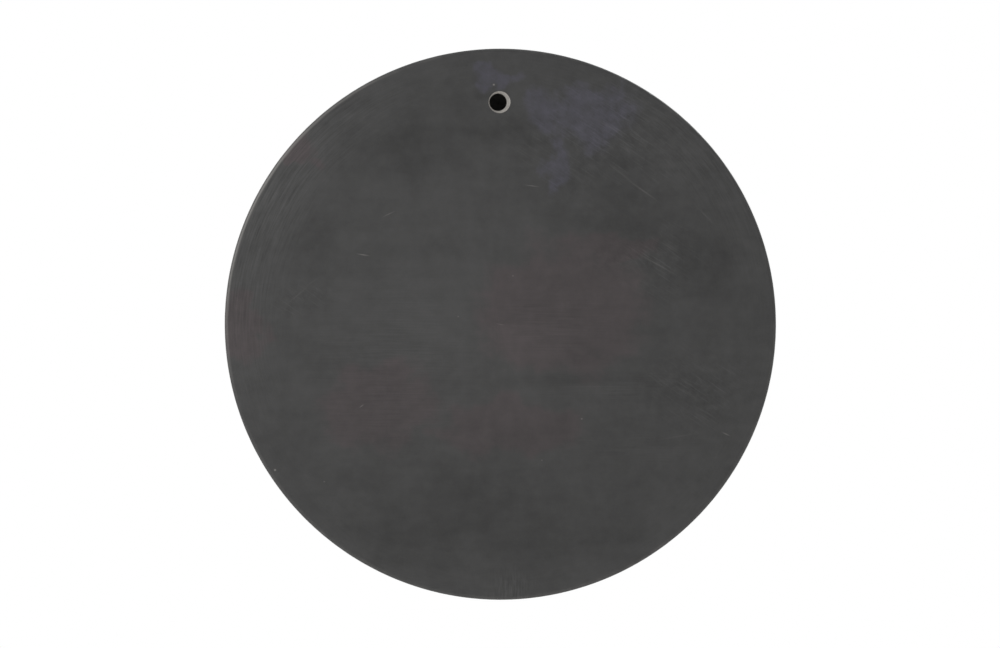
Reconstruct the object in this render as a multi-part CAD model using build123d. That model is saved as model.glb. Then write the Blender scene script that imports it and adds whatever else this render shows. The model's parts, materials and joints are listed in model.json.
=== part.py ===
from build123d import *
from math import atan, atan2, cos, degrees, radians, sin, sqrt, tan
import os

# A garden sundial for a wall that faces south. The dial is a round of honed slate that hangs on
# a peg by one blind hole in its back. A brass gnomon is screwed to its face, and brass numerals
# and half-hour studs are pinned into it. The hour lines, the quarter-hour track, the borders and the
# sun's rays are cut in the slate with a chisel, as V-shaped grooves and tapering flutes.
#
# Every piece is drawn with the dial lying face up on the bench: X to the reader's right, Y to the
# top of the dial, Z out of the dial face, and Z = 0 on the face. DIAL then stands the work up
# with its face along -Y and its top at +Z. The origin is the centre of the back, on the wall.
# Lengths are in millimetres and angles in degrees.

# Slate dial
DISC_RADIUS = 150.0
THICKNESS = 16.0
RIM_ROUNDING = 2.0

# Hanging hole, drilled from the back and opened by hand with a countersink, a little off its axis
HOLE_RADIUS = 4.75
HOLE_HEIGHT = 120.7
HOLE_DEPTH = 10.0
DRILL_POINT_ANGLE = 118.0
MOUTH_RADIUS = 5.95
MOUTH_OFFSET = -0.8
MOUTH_DEPTH = 2.0

# Dial layout: the hour lines and the style all meet at the root, above the centre of the dial
LATITUDE = 51.5
ROOT_Y = 45.0
HOUR_STEP = 15.0
FIRST_LINE_DISTANCE = 27.0
NOON_LINE_TOP = -43.0
TRACK_INNER = 98.0
TRACK_OUTER = 106.0
HALF_LINE_INNER = 84.0
STUD_CIRCLE = 78.0
NUMERAL_CIRCLE = 124.5
BORDER_INNER = 142.0
BORDER_OUTER = 145.0
BAND_END = 118.0
LINE_WIDTH = 1.6
TICK_WIDTH = 1.1
CUT_OVERRUN = 0.4

# Sun's rays above the gnomon, long and short by turns
RAY_COUNT = 11
RAY_STEP = 15.0
RAY_START = 30.0
RAY_LENGTHS = (38.0, 22.0)
RAY_SHOULDER = 6.0
RAY_WIDTH = 2.8

# Brass numerals, cut from sheet and held by two pins each
NUMERAL_HEIGHT = 19.5
NUMERAL_THICKNESS = 2.0
NUMERAL_CHAMFER = 0.25
THICK_STROKE = 3.0
SLANTED_STROKE = 3.3
THIN_STROKE = 1.5
SERIF_BAR = 1.3
LETTER_GAP = 0.6
PIN_RADIUS = 0.75
PIN_GRIP = 1.0
PIN_REACH = 6.0
SOLDER_GAP = 0.05
SLATE_GAP = 0.1
HOLE_SPARE = 0.3

# Each letter has a width, strokes as (x at the top, x at the bottom, width), and the points near
# its top and its bottom where a pin can stand
LETTERS = {
    "I": (5.6, [(0.0, 0.0, THICK_STROKE)], (0.0, 6.0), (0.0, -6.0)),
    "V": (13.0, [(-4.4, 0.0, SLANTED_STROKE), (4.6, 0.5, THIN_STROKE)], (-3.8, 6.9), (-0.6, -6.9)),
    "X": (13.0, [(-4.3, 4.3, SLANTED_STROKE), (4.7, -4.7, THIN_STROKE)], (-3.0, 6.8), (3.0, -6.8)),
}
NUMERALS = [
    ("vi_morning", "VI"),
    ("vii", "VII"),
    ("viii", "VIII"),
    ("ix", "IX"),
    ("x", "X"),
    ("xi", "XI"),
    ("xii", "XII"),
    ("i", "I"),
    ("ii", "II"),
    ("iii", "III"),
    ("iiii", "IIII"),
    ("v", "V"),
    ("vi_evening", "VI"),
]

# Half-hour studs
STUD_RADIUS = 2.2
STUD_RISE = 1.2
STUD_REACH = 5.0

# Gnomon: an upright blade with graded piercings under its style, on a waisted sole
BLADE_THICKNESS = 4.0
STYLE_LENGTH = 122.0
NOSE_LENGTH = 5.0
TOE_Y = -35.0
TOE_RISE = 3.0
SCOOP_DEPTH = 10.5
PIERCINGS = [(7.0, 42.0), (5.0, 59.0), (3.5, 72.5), (2.5, 83.5)]
PIERCING_MARGIN = 4.0
EDGE_CHAMFER = 0.35
TENON_LENGTH = 14.0
TENON_CENTRES = (26.0, -20.0)
SOLE_WIDTH = 21.0
SOLE_TOP = 50.0
SOLE_BOTTOM = -40.0
SOLE_THICKNESS = 3.0
SOLE_CORNER = 6.5
SOLE_CHAMFER = 0.5
WAIST_SPAN = 52.0
WAIST_DEPTH = 4.5
JOINT_GAP = 0.05

# Slotted M3 screws with raised countersunk heads, and the threaded inserts in the slate
SCREW_X = 6.2
SCREW_ROWS = (41.5, -31.5)
SLOT_ANGLES = (25.0, 80.0, -40.0, 15.0)
SCREW_RADIUS = 1.5
SCREW_REACH = 7.5
HEAD_RADIUS = 2.9
HEAD_RISE = 0.6
SLOT_WIDTH = 0.8
SLOT_DEPTH = 1.0
CLEARANCE_RADIUS = 1.7
SEAT_GAP = 0.04
INSERT_RADIUS = 2.5
INSERT_LENGTH = 8.0
THREAD_GAP = 0.05

STYLE_ANGLE = 90.0 - LATITUDE
WHOLE_HOURS = [HOUR_STEP * (index - 6) for index in range(len(NUMERALS))]
HALF_HOURS = [hour + HOUR_STEP / 2 for hour in WHOLE_HOURS[:-1]]
QUARTERS = [half + side * HOUR_STEP / 4 for half in HALF_HOURS for side in (-1, 1)]
SCREW_PLACES = [(side * SCREW_X, y) for y in SCREW_ROWS for side in (-1, 1)]
DIAL = Plane(origin=(0, -THICKNESS, 0), x_dir=(1, 0, 0), z_dir=(0, -1, 0))
FROM_BELOW = (Align.CENTER, Align.CENTER, Align.MIN)
FROM_ABOVE = (Align.CENTER, Align.CENTER, Align.MAX)


def on_line(hour_angle, distance):
    """The point on an hour line at this distance from the root."""
    angle = atan(cos(radians(LATITUDE)) * tan(radians(hour_angle)))
    return Vector(distance * sin(angle), ROOT_Y - distance * cos(angle))


def on_circle(hour_angle, radius):
    """The point where an hour line meets a circle about the centre of the dial."""
    run = on_line(hour_angle, 1) - Vector(0, ROOT_Y)
    to_middle = -run.Y * ROOT_Y
    return on_line(hour_angle, to_middle + sqrt(radius**2 - (run.X * ROOT_Y) ** 2))


def chisel_section(plane, width):
    """The V that the chisel leaves: sides at 45 degrees, carried on above the dial face."""
    top = width / 2 + CUT_OVERRUN
    return plane * Polygon((-top, CUT_OVERRUN), (0, -width / 2), (top, CUT_OVERRUN), align=None)


def straight_cut(start, end, width):
    """A straight V-cut from one point of the dial face to another."""
    run = end - start
    plane = Plane(origin=start, x_dir=(-run.Y, run.X, 0), z_dir=run)
    return extrude(chisel_section(plane, width), run.length, dir=run.normalized())


def arc_cut(radius):
    """A V-cut round the dial, open at the top, from one end of the numeral band to the other."""
    plane = Plane(origin=(radius, 0, 0), x_dir=(1, 0, 0), z_dir=(0, -1, 0))
    section = Rot(Z=-90 - BAND_END) * chisel_section(plane, LINE_WIDTH)
    return revolve(section, Axis.Z, 2 * BAND_END)


def ray_cut(index):
    """One of the sun's rays: a flute that widens quickly and then tapers to a point."""
    length = RAY_LENGTHS[index % 2]
    outline = Polygon((0, 0), (length, 0), (RAY_SHOULDER, RAY_WIDTH / 2), align=None)
    flute = revolve(outline, Axis.X)
    return Pos(0, ROOT_Y) * Rot(Z=RAY_STEP * (index + 1)) * Pos(RAY_START, 0) * flute


def noon_lines():
    """Noon has two lines, one for each edge of the blade, as far apart as it is thick."""
    lines = []
    for x in (-BLADE_THICKNESS / 2, BLADE_THICKNESS / 2):
        lines.append(straight_cut(Vector(x, NOON_LINE_TOP), Vector(x, -TRACK_OUTER), LINE_WIDTH))
    return lines


def dial_cuts():
    """All the chisel's work on the dial face."""
    cuts = [arc_cut(radius) for radius in (TRACK_INNER, TRACK_OUTER, BORDER_INNER, BORDER_OUTER)]
    for side in (-1, 1):
        ray = Vector(0, -1).rotate(Axis.Z, side * BAND_END)
        cuts.append(straight_cut(ray * TRACK_INNER, ray * BORDER_OUTER, LINE_WIDTH))
    for hour in WHOLE_HOURS:
        if hour:
            start = on_line(hour, FIRST_LINE_DISTANCE)
            cuts.append(straight_cut(start, on_circle(hour, TRACK_OUTER), LINE_WIDTH))
    for half in HALF_HOURS:
        start = on_circle(half, HALF_LINE_INNER)
        cuts.append(straight_cut(start, on_circle(half, TRACK_OUTER), TICK_WIDTH))
    for quarter in QUARTERS:
        start = on_circle(quarter, TRACK_INNER)
        cuts.append(straight_cut(start, on_circle(quarter, TRACK_OUTER), TICK_WIDTH))
    return cuts + noon_lines() + [ray_cut(index) for index in range(RAY_COUNT)]


def hanging_hole():
    """The drilled hole with its conical end, and its countersunk mouth, on the back."""
    point_depth = HOLE_RADIUS / tan(radians(DRILL_POINT_ANGLE / 2))
    bore = Cylinder(HOLE_RADIUS, HOLE_DEPTH, align=FROM_BELOW)
    point = Pos(Z=HOLE_DEPTH) * Cone(HOLE_RADIUS, 0, point_depth, align=FROM_BELOW)
    mouth = Cone(MOUTH_RADIUS, MOUTH_RADIUS - MOUTH_DEPTH, MOUTH_DEPTH, align=FROM_BELOW)
    return Pos(0, HOLE_HEIGHT, -THICKNESS) * (bore + point + Pos(X=MOUTH_OFFSET) * mouth)


def drilled(place, radius, depth):
    """A flat-bottomed hole, drilled down from the dial face."""
    return place * Cylinder(radius, depth, align=FROM_ABOVE)


def fixing_holes():
    """The holes in the dial face for the pins, the studs and the inserts."""
    pin_hole = PIN_RADIUS + SLATE_GAP
    holes = [drilled(place, pin_hole, PIN_REACH + HOLE_SPARE) for place in pin_places()]
    holes += [drilled(place, pin_hole, STUD_REACH + HOLE_SPARE) for place in stud_places()]
    for x, y in SCREW_PLACES:
        holes.append(drilled(Pos(x, y), INSERT_RADIUS + JOINT_GAP, INSERT_LENGTH + HOLE_SPARE))
    return holes


def slate_disc():
    """The dial: a round slab with both rims rounded."""
    slab = Cylinder(DISC_RADIUS, THICKNESS, align=FROM_ABOVE)
    slab = fillet(slab.edges().filter_by(GeomType.CIRCLE), RIM_ROUNDING)
    return slab - hanging_hole() - fixing_holes() - dial_cuts()


def letter_centres(lettering):
    """The numeral's width, and the middle of each of its letters across that width."""
    widths = [LETTERS[letter][0] for letter in lettering]
    total = sum(widths) + LETTER_GAP * (len(widths) - 1)
    left = -total / 2
    centres = []
    for width in widths:
        centres.append(left + width / 2)
        left += width + LETTER_GAP
    return total, centres


def numeral_place(hour_angle):
    """Where a numeral stands: on its hour line, with its head towards the centre of the dial."""
    point = on_circle(hour_angle, NUMERAL_CIRCLE)
    return Rot(Z=degrees(atan2(point.X, -point.Y))) * Pos(0, -NUMERAL_CIRCLE)


def pin_points(lettering):
    """A numeral's two pins: near the top of its first letter and the bottom of its last one."""
    _, centres = letter_centres(lettering)
    upper = LETTERS[lettering[0]][2]
    lower = LETTERS[lettering[-1]][3]
    return [Pos(centres[0] + upper[0], upper[1]), Pos(centres[-1] + lower[0], lower[1])]


def pin_places():
    """Every pin's place on the dial face."""
    places = []
    for hour, (_, lettering) in zip(WHOLE_HOURS, NUMERALS):
        places += [numeral_place(hour) * point for point in pin_points(lettering)]
    return places


def stud_places():
    """Every stud's place on the dial face."""
    return [Pos(on_circle(half, STUD_CIRCLE)) for half in HALF_HOURS]


def numeral(lettering):
    """A numeral in one piece: its letters share a bar along the top and one along the bottom."""
    half = NUMERAL_HEIGHT / 2
    total, centres = letter_centres(lettering)
    outline = Pos(0, half - SERIF_BAR / 2) * Rectangle(total, SERIF_BAR)
    outline += Pos(0, SERIF_BAR / 2 - half) * Rectangle(total, SERIF_BAR)
    for letter, centre in zip(lettering, centres):
        for top, bottom, width in LETTERS[letter][1]:
            corners = [(top - width / 2, half), (bottom - width / 2, -half)]
            corners += [(bottom + width / 2, -half), (top + width / 2, half)]
            outline += Pos(centre, 0) * Polygon(*corners, align=None)
    body = extrude(outline, NUMERAL_THICKNESS)
    body = chamfer(body.edges().group_by(Axis.Z)[-1], NUMERAL_CHAMFER)
    sockets = Cylinder(PIN_RADIUS + SOLDER_GAP, PIN_GRIP, align=FROM_BELOW)
    return body - [point * sockets for point in pin_points(lettering)]


def numeral_pins():
    """The plain pins that hold the numerals, half in the brass and half in the slate."""
    pin = Pos(Z=PIN_GRIP) * Cylinder(PIN_RADIUS, PIN_REACH + PIN_GRIP, align=FROM_ABOVE)
    return Compound([place * pin for place in pin_places()])


def turned(points, crown):
    """A turned piece: its side goes up through the points, and a dome closes it at the crown."""
    foot = (0, points[0][1])
    side = Polyline(foot, *points)
    dome = TangentArc((0, crown), points[-1], tangent=(1, 0))
    profile = make_face(side + dome + Line((0, crown), foot))
    return revolve(Plane.XZ * profile, Axis.Z)


def half_hour_studs():
    """Domed nails."""
    side = [(PIN_RADIUS, -STUD_REACH), (PIN_RADIUS, 0), (STUD_RADIUS, 0)]
    nail = turned(side, STUD_RISE)
    return Compound([place * nail for place in stud_places()])


def on_style(distance, inset):
    """A point (Y, Z) at a distance from the root along the style, and inset below its edge."""
    angle = radians(STYLE_ANGLE)
    y = ROOT_Y - distance * cos(angle) - inset * sin(angle)
    return y, distance * sin(angle) - inset * cos(angle)


def gnomon_blade():
    """The blade: its style rises from the root, parallel to the earth's axis."""
    heel = on_style(SOLE_THICKNESS / sin(radians(STYLE_ANGLE)), 0)
    tip = on_style(STYLE_LENGTH, 0)
    nose = on_style(STYLE_LENGTH, NOSE_LENGTH)
    toe = (TOE_Y, SOLE_THICKNESS)
    toe_top = (TOE_Y, SOLE_THICKNESS + TOE_RISE)
    edge = Polyline(toe_top, toe, heel, tip, nose) + SagittaArc(nose, toe_top, SCOOP_DEPTH)
    side = make_face(edge)
    for radius, distance in PIERCINGS:
        side -= Pos(*on_style(distance, radius + PIERCING_MARGIN)) * Circle(radius)
    blade = extrude(Plane.YZ * side, BLADE_THICKNESS / 2, both=True)
    blade = chamfer(blade.edges().filter_by(GeomType.CIRCLE), EDGE_CHAMFER)
    tenon = Box(BLADE_THICKNESS, TENON_LENGTH, SOLE_THICKNESS, align=FROM_BELOW)
    return blade + [Pos(0, y) * tenon for y in TENON_CENTRES]


def gnomon_sole():
    """The sole: a plate with round corners and a waist, slotted for the blade's tenons."""
    middle = (SOLE_TOP + SOLE_BOTTOM) / 2
    scallop = ((WAIST_SPAN / 2) ** 2 + WAIST_DEPTH**2) / (2 * WAIST_DEPTH)
    outline = Pos(0, middle) * RectangleRounded(SOLE_WIDTH, SOLE_TOP - SOLE_BOTTOM, SOLE_CORNER)
    for side in (-1, 1):
        centre = side * (SOLE_WIDTH / 2 - WAIST_DEPTH + scallop)
        outline -= Pos(centre, middle) * Circle(scallop)
    plate = extrude(outline, SOLE_THICKNESS)
    plate = chamfer(plate.edges().group_by(Axis.Z)[-1], SOLE_CHAMFER)
    slot_size = (BLADE_THICKNESS + 2 * JOINT_GAP, TENON_LENGTH + 2 * JOINT_GAP)
    slot = Box(*slot_size, SOLE_THICKNESS, align=FROM_BELOW)
    hole = Cylinder(CLEARANCE_RADIUS, SOLE_THICKNESS, align=FROM_BELOW)
    seat_radius = HEAD_RADIUS + SEAT_GAP
    seat_depth = seat_radius - CLEARANCE_RADIUS
    seat = Cone(CLEARANCE_RADIUS, seat_radius, seat_depth, align=FROM_ABOVE)
    hole += Pos(Z=SOLE_THICKNESS) * seat
    return plate - [Pos(0, y) * slot for y in TENON_CENTRES] - [Pos(*xy) * hole for xy in SCREW_PLACES]


def sole_screws():
    """The four screws through the sole, each with its slot left at its own angle."""
    neck = SOLE_THICKNESS - (HEAD_RADIUS - SCREW_RADIUS)
    side = [(SCREW_RADIUS, -SCREW_REACH), (SCREW_RADIUS, neck), (HEAD_RADIUS, SOLE_THICKNESS)]
    crown = SOLE_THICKNESS + HEAD_RISE
    slot = Pos(Z=crown) * Box(SLOT_WIDTH, 2 * HEAD_RADIUS, 2 * SLOT_DEPTH)
    screws = []
    for place, angle in zip(SCREW_PLACES, SLOT_ANGLES):
        screws.append(Pos(*place) * (turned(side, crown) - Rot(Z=angle) * slot))
    return Compound(screws)


def screw_inserts():
    """The sleeves that are glued in the slate for the screws."""
    sleeve = Cylinder(INSERT_RADIUS, INSERT_LENGTH, align=FROM_ABOVE)
    sleeve -= Cylinder(SCREW_RADIUS + THREAD_GAP, INSERT_LENGTH, align=FROM_ABOVE)
    return Compound([Pos(*place) * sleeve for place in SCREW_PLACES])


def write_node(name, piece):
    """Stand a finished piece up on the wall and write it to its own file."""
    export_step(DIAL.location * piece, f"parts/{name}.step")


os.makedirs("parts", exist_ok=True)
write_node("slate_disc", slate_disc())
write_node("gnomon_blade", gnomon_blade())
write_node("gnomon_sole", gnomon_sole())
write_node("sole_screws", sole_screws())
write_node("screw_inserts", screw_inserts())
write_node("numeral_pins", numeral_pins())
write_node("half_hour_studs", half_hour_studs())
for hour, (name, lettering) in zip(WHOLE_HOURS, NUMERALS):
    write_node(f"numeral_{name}", numeral_place(hour) * numeral(lettering))
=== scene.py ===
import bmesh
import bpy
import json
import math
import random
from mathutils import Matrix, Vector, noise


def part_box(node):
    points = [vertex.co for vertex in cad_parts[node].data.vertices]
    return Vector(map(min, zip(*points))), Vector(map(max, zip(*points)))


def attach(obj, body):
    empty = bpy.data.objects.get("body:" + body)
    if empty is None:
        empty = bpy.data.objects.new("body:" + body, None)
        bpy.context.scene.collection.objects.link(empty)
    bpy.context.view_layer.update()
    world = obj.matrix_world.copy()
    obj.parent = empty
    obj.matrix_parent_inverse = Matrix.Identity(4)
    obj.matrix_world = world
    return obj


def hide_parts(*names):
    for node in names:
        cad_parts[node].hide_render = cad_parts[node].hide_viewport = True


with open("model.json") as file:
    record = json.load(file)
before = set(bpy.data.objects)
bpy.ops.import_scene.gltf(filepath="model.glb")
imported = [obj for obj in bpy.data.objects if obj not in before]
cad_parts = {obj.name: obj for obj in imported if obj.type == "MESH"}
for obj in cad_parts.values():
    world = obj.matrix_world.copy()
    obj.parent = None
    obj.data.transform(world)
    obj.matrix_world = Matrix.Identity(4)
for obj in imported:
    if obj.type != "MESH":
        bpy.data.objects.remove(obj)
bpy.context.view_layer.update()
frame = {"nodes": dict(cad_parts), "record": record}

# -------------------- Slate blank
# The dial is a round of dark blue-black slate, sawn to thickness, with a plain honed back. Its rims
# were eased with a rubbing stone and have small chips. Honing by hand left the back a little low
# near its rim, and the finished back was oiled and rubbed down.

MM = 0.001
slate_low, slate_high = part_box("slate_disc")
BACK = slate_high.y
FACE = slate_low.y
RADIUS = slate_high.x
RIM_ROUNDING = 2.0 * MM
ROUNDING_STEPS = 9
EDGE_STEPS = 8
DUBBED_WIDTH = 12.0 * MM
DUBBED_DEPTH = 0.22 * MM
DUBBED_STEPS = 11
FLAT_RING = 0.5 * MM
RIM_STEPS = 1440
OUT_OF_ROUND = 0.12 * MM
ARRIS_WAVER = 0.05 * MM
CHIP_COUNT = 60
CHIP_DEPTH = 0.22
LARGE_CHIPS = 0.08
LARGER_BY = 1.7


def rim_profile():
    """(radius, y) down the section, from the flat of the back, round the rim, to the flat face."""
    inner = RADIUS - RIM_ROUNDING
    points = [(inner - DUBBED_WIDTH - FLAT_RING, BACK)]
    for step in range(DUBBED_STEPS):
        share = 1 - (1 - step / (DUBBED_STEPS - 1)) ** 2
        points.append((inner - DUBBED_WIDTH * (1 - share), BACK - DUBBED_DEPTH * share**2))
    back_centre = BACK - DUBBED_DEPTH - RIM_ROUNDING
    for step in range(1, ROUNDING_STEPS + 1):
        turn = math.radians(90 - 90 * step / ROUNDING_STEPS)
        points.append((inner + RIM_ROUNDING * math.cos(turn), back_centre + RIM_ROUNDING * math.sin(turn)))
    face_centre = FACE + RIM_ROUNDING
    for step in range(1, EDGE_STEPS):
        points.append((RADIUS, back_centre + (face_centre - back_centre) * step / EDGE_STEPS))
    for step in range(ROUNDING_STEPS + 1):
        turn = math.radians(-90 * step / ROUNDING_STEPS)
        points.append((inner + RIM_ROUNDING * math.cos(turn), face_centre + RIM_ROUNDING * math.sin(turn)))
    points.append((inner - FLAT_RING, FACE))
    return points


def rim_wear(profile):
    """How far each rim vertex stands in from the true section: handwork everywhere, and chips."""
    path = [0.0]
    for first, second in zip(profile, profile[1:]):
        path.append(path[-1] + math.dist(first, second))
    step = math.tau / RIM_STEPS
    wear = [[0.0] * len(profile) for _ in range(RIM_STEPS)]
    for turn in range(RIM_STEPS):
        around = Vector((math.cos(turn * step), math.sin(turn * step), 0.0))
        slow = 0.5 + 0.5 * noise.noise(around * 1.6)
        quick = 0.5 + 0.5 * noise.noise(around * 38.0)
        for place in range(DUBBED_STEPS + 1, len(profile) - 1):
            wear[turn][place] = OUT_OF_ROUND * slow + ARRIS_WAVER * quick
    rng = random.Random(11)
    arrises = [path[DUBBED_STEPS + 5], path[-7]]
    for _ in range(CHIP_COUNT):
        size = rng.uniform(0.5, 1.0) * MM
        if rng.random() < LARGE_CHIPS:
            size *= LARGER_BY
        middle = rng.randrange(RIM_STEPS)
        along = rng.choice(arrises) + rng.uniform(-0.5, 0.5) * MM
        reach = int(3 * size / (RADIUS * step)) + 1
        for offset in range(-reach, reach + 1):
            turn = (middle + offset) % RIM_STEPS
            across = offset * step * RADIUS / size
            for place in range(1, len(profile) - 1):
                down = (path[place] - along) / (0.7 * size)
                wear[turn][place] += CHIP_DEPTH * size * math.exp(-(across**2) - down**2)
    return wear


def outward_mesh(name, vertices, faces):
    """A mesh whose faces all point outwards."""
    mesh = bpy.data.meshes.new(name)
    mesh.from_pydata(vertices, [], faces)
    work = bmesh.new()
    work.from_mesh(mesh)
    bmesh.ops.recalc_face_normals(work, faces=work.faces)
    work.to_mesh(mesh)
    work.free()
    return mesh


def slate_blank():
    """The blank's mesh, revolved about Y, with both flats closed."""
    profile = rim_profile()
    wear = rim_wear(profile)
    count = len(profile)
    vertices = []
    for turn in range(RIM_STEPS):
        angle = math.tau * turn / RIM_STEPS
        for place, (radius, y) in enumerate(profile):
            before = profile[max(place - 1, 0)]
            after = profile[min(place + 1, count - 1)]
            normal = Vector((before[1] - after[1], after[0] - before[0])).normalized()
            radius -= wear[turn][place] * normal.x
            y -= wear[turn][place] * normal.y
            vertices.append((radius * math.cos(angle), y, radius * math.sin(angle)))
    faces = []
    for turn in range(RIM_STEPS):
        here = turn * count
        there = (turn + 1) % RIM_STEPS * count
        for place in range(count - 1):
            faces.append((here + place, here + place + 1, there + place + 1, there + place))
    faces.append([turn * count for turn in range(RIM_STEPS)])
    faces.append([turn * count + count - 1 for turn in reversed(range(RIM_STEPS))])
    return outward_mesh("slate_dial", vertices, faces)


def linear(hex_colour):
    """An sRGB hex colour as the linear RGBA that shaders take."""
    channels = [int(hex_colour[start:start + 2], 16) / 255 for start in (1, 3, 5)]
    values = [c / 12.92 if c <= 0.04045 else ((c + 0.055) / 1.055) ** 2.4 for c in channels]
    return (*values, 1.0)


def add(tree, kind, inputs=None, **settings):
    """Adds a node. Each input is a value, a socket to link from, or a node, for its first output."""
    node = tree.nodes.new(kind)
    for name, value in settings.items():
        setattr(node, name, value)
    for name, value in (inputs or {}).items():
        if isinstance(value, bpy.types.Node):
            value = next(output for output in value.outputs if output.enabled)
        if isinstance(value, bpy.types.NodeSocket):
            tree.links.new(value, node.inputs[name])
        else:
            node.inputs[name].default_value = value
    return node


def new_material(name):
    """A material with an empty tree."""
    material = bpy.data.materials.new(name)
    material.use_nodes = True
    material.node_tree.nodes.clear()
    return material


def weighted_sum(tree, base, parts):
    """The base, plus each part times its weight. A part or a weight may be a value or a node."""
    total = base
    for part, weight in parts:
        total = add(tree, "ShaderNodeMath", {0: part, 1: weight, 2: total}, operation="MULTIPLY_ADD")
    return total


# A Map Range node's setting for a step that starts and ends gently
EASED = {"interpolation_type": "SMOOTHSTEP"}


def soft_patch(tree, place, y, centre, half, turn=0.0):
    """How far inside an oval patch a point is: 1 at its centre, 0 at its edge. Sizes are in mm."""
    put = add(tree, "ShaderNodeMapping", {
        "Vector": place, "Location": (centre[0] * MM, y, centre[1] * MM),
        "Rotation": (0, -math.radians(turn), 0), "Scale": (half[0] * MM, 5 * MM, half[1] * MM)},
        vector_type="TEXTURE")
    return add(tree, "ShaderNodeTexGradient", {"Vector": put}, gradient_type="SPHERICAL").outputs["Fac"]


def largest(tree, masks):
    """The largest of several masks."""
    total = masks[0]
    for mask in masks[1:]:
        total = add(tree, "ShaderNodeMath", {0: total, 1: mask}, operation="MAXIMUM")
    return total


def patches(tree, place, spots):
    """One mask of several oval patches on the back."""
    return largest(tree, [soft_patch(tree, place, BACK, *spot) for spot in spots])


def clouds(tree, place, size, detail=4.0, crisp=0.55):
    """Soft clouds of a size, from about -1 to 1."""
    cloud = add(tree, "ShaderNodeTexNoise", {"Vector": place, "Scale": 1 / size, "Detail": detail,
                                            "Roughness": crisp})
    return weighted_sum(tree, -1.0, [(cloud, 2.0)])


def strokes(tree, place, turn, length, width):
    """Rubbing strokes at an angle across the dial: clouds drawn out along them. Sizes in mm."""
    drawn = add(tree, "ShaderNodeMapping", {
        "Vector": place, "Rotation": (0, -math.radians(turn), 0),
        "Scale": (length * MM, width * MM, width * MM)}, vector_type="TEXTURE")
    return clouds(tree, drawn, 1.0, 3.0, 0.6)


def surface(tree, height, depth, looks):
    """Ends a material with a shader of these looks, over a bump of this height and depth."""
    bump = add(tree, "ShaderNodeBump", {"Height": height, "Distance": depth, "Strength": 1.0})
    shader = add(tree, "ShaderNodeBsdfPrincipled", {**looks, "Normal": bump})
    add(tree, "ShaderNodeOutputMaterial", {"Surface": shader})


# Honed slate, oiled: a near-black stone with a slight satin gloss. Hand honing leaves faint strokes,
# drawn here about 0.7 to 0.9 mm wide where the real ones are 0.1 mm, because finer ones wouldn't
# show. A patch is its centre and half size, across and up, in mm, and some have a turn.
BROWN_STAINS = [((-33, 8), (56, 45)), ((66, -42), (37, 30)), ((-6, -56), (50, 20)),
                ((140, 2), (13, 26)), ((110, 95), (15, 10)), ((-66, 40), (26, 12))]
VIOLET_BLOOMS = [((-50, 113), (32, 21)), ((0, 136), (17, 8)), ((-27, 120), (18, 12)),
                 ((-29, 88), (8, 22))]
DIAGONAL_SCUFFS = [((-62, 100), (70, 40)), ((-84, 34), (34, 24)), ((-108, -36), (34, 30)),
                   ((106, 16), (20, 11))]
LEVEL_RUBS = [((-28, 0), (42, 24)), ((-64, -35), (66, 7)), ((-74, -68), (44, 9)),
              ((60, -20), (60, 60))]
DARK_SMUDGES = [((6, 127), (9, 6)), ((-113, 32), (22, 20)), ((-64, 58), (46, 13)),
                ((52, 100), (44, 20)), ((100, 44), (20, 26)), ((0, 104), (26, 7)),
                ((20, -110), (110, 40))]
DARK_BAND = ((-40, -31), (58, 5), -1)
PALE_MARKS = [
    # centre, half length and half width, turn, strength
    ((74.2, 38.5), (5, 0.5), 10, 1), ((-18, 75), (5.5, 0.5), 8, 0.8),
    ((-7.1, 26.2), (0.7, 0.6), 0, 0.9), ((22.9, 4.4), (0.6, 0.6), 0, 0.9),
    ((-43.7, -51.9), (0.8, 0.7), 0, 1), ((-21.8, -74.2), (0.6, 0.6), 0, 0.8),
    ((75.9, -43.7), (2.2, 0.5), -35, 0.9), ((123.3, -78), (0.9, 0.9), 0, 1.6),
    ((96.6, -84.6), (0.7, 0.6), 0, 0.8), ((2.2, 130.2), (0.9, 0.8), 0, 1.6),
    ((60, 60.5), (5, 0.5), -24, 0.7), ((-122, -61), (3.5, 0.6), 25, 0.8),
    ((-78, 72), (15, 0.8), 36, 0.5), ((-85, 32), (17, 0.8), 30, 0.5),
    ((-92, 41), (13, 0.7), 33, 0.35), ((-68, 80), (19, 0.8), 40, 0.3),
    ((-60, 107), (16, 0.9), 28, 0.3), ((-112, 58), (11, 0.8), 46, 0.35),
    ((110, 17), (12, 0.7), -40, 0.35), ((102, 24), (9, 0.6), -33, 0.3),
    ((-52, -34.5), (40, 0.6), 0, 0.25), ((-96, -62), (18, 0.7), -9, 0.3),
]
HAIR_SPACING = 17 * MM
HAIRS_SEEN = 0.28
# Half length, depth and half width, as shares of the spacing
HAIR_SIZE = (0.17, 1.0, 0.016)


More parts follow.
